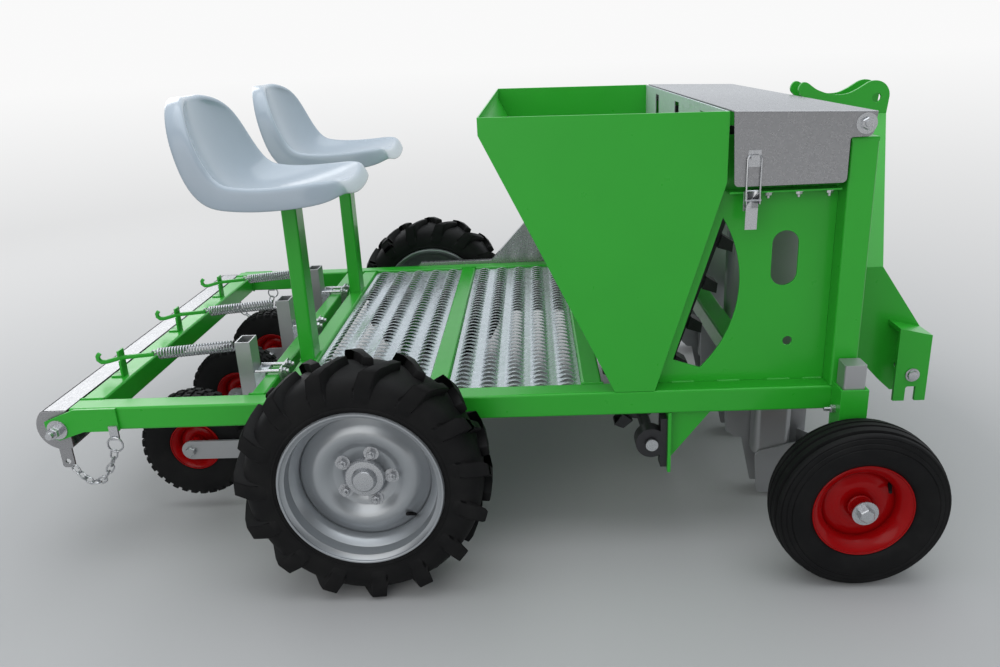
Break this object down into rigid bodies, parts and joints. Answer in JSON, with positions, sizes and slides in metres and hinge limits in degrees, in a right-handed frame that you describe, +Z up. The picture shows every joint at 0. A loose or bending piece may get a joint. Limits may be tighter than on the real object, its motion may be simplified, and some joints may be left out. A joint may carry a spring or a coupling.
{
  "type": "garlic planter",
  "caption": "Tractor-mounted garlic planter: tube frame on rubber wheels, folded hopper with cup chains and hinged lid, pan seats, sprung press wheels and a three-point hitch.",
  "frame": {"origin": "on the floor under the middle of the machine's length and width", "axes": "+X forward to the tractor, +Y to the machine's left, +Z up"},
  "size_m": [2.2639, 1.696, 1.1548],
  "materials": {
    "green_paint": "gloss enamel",
    "galvanised_sheet": "zinc coated sheet",
    "grey_paint": "satin enamel",
    "seat_plastic": "gloss moulded",
    "silver_paint": "silver enamel",
    "red_paint": "gloss enamel",
    "black_rubber": "moulded rubber",
    "dark_steel": "oiled steel"
  },
  "bodies": {
    "frame": {"axle_hangers": "green_paint", "chain_guard": "galvanised_sheet", "cross_tubes": "green_paint", "cup_chain_left": "dark_steel", "cup_chain_middle": "dark_steel", "cup_chain_right": "dark_steel", "drive_axle": "green_paint", "drop_tubes": "grey_paint", "front_beams": "green_paint", "front_legs": "grey_paint", "front_posts": "green_paint", "hopper_ends": "green_paint", "hopper_front_wall": "galvanised_sheet", "hopper_rear_wall": "green_paint", "leg_sleeves": "green_paint", "lever_brackets": "green_paint", "lower_bearings": "dark_steel", "lower_clevises": "green_paint", "lower_shaft": "dark_steel", "mast": "green_paint", "mast_arms": "green_paint", "mast_heads": "green_paint", "openers": "grey_paint", "pivot_tube": "green_paint", "platform": "galvanised_sheet", "press_arm_left": "grey_paint", "press_arm_middle": "grey_paint", "press_arm_right": "grey_paint", "press_clamps": "galvanised_sheet", "rear_beam": "green_paint", "rear_end_plates": "green_paint", "seat_posts": "green_paint", "seats": "seat_plastic", "shaft_brackets": "green_paint", "side_beams": "green_paint", "side_plates": "green_paint", "spring_levers": "green_paint", "springs": "dark_steel", "upper_bearings": "dark_steel", "upper_shaft": "dark_steel"},
    "drive_wheel_right": {"drive_tyre_right": "black_rubber", "drive_rim_right": "silver_paint"},
    "drive_wheel_left": {"drive_tyre_left": "black_rubber", "drive_rim_left": "silver_paint"},
    "front_wheel_right": {"front_tyre_right": "black_rubber", "front_rim_right": "red_paint"},
    "front_wheel_left": {"front_tyre_left": "black_rubber", "front_rim_left": "red_paint"},
    "press_wheel_right": {"press_tyre_right": "black_rubber", "press_rim_right": "red_paint"},
    "press_wheel_middle": {"press_tyre_middle": "black_rubber", "press_rim_middle": "red_paint"},
    "press_wheel_left": {"press_tyre_left": "black_rubber", "press_rim_left": "red_paint"},
    "lid": {"lid": "galvanised_sheet"},
    "levelling_board": {"levelling_board": "galvanised_sheet"}
  },
  "joints": [
    {"name": "drive_wheel_right_spin", "type": "hinge", "parent": "frame", "child": "drive_wheel_right", "pos_m": [-0.287, -0.77, 0.297], "axis": [0, 1, 0], "continuous": true},
    {"name": "drive_wheel_left_spin", "type": "hinge", "parent": "frame", "child": "drive_wheel_left", "pos_m": [-0.287, 0.77, 0.297], "axis": [0, 1, 0], "continuous": true},
    {"name": "front_wheel_right_spin", "type": "hinge", "parent": "frame", "child": "front_wheel_right", "pos_m": [0.846, -0.782, 0.199], "axis": [0, 1, 0], "continuous": true},
    {"name": "front_wheel_left_spin", "type": "hinge", "parent": "frame", "child": "front_wheel_left", "pos_m": [0.846, 0.782, 0.199], "axis": [0, 1, 0], "continuous": true},
    {"name": "press_wheel_right_spin", "type": "hinge", "parent": "frame", "child": "press_wheel_right", "pos_m": [-0.852, -0.375, 0.203], "axis": [0, 1, 0], "continuous": true},
    {"name": "press_wheel_middle_spin", "type": "hinge", "parent": "frame", "child": "press_wheel_middle", "pos_m": [-0.852, 0, 0.203], "axis": [0, 1, 0], "continuous": true},
    {"name": "press_wheel_left_spin", "type": "hinge", "parent": "frame", "child": "press_wheel_left", "pos_m": [-0.852, 0.375, 0.203], "axis": [0, 1, 0], "continuous": true},
    {"name": "lid_hinge", "type": "hinge", "parent": "frame", "child": "lid", "pos_m": [0.835, 0, 1.0375], "axis": [0, 1, 0], "range_deg": [0, 100]},
    {"name": "board_swing", "type": "hinge", "parent": "frame", "child": "levelling_board", "pos_m": [-1.072, 0, 0.383], "axis": [0, 1, 0], "range_deg": [-10, 10]}
  ]
}
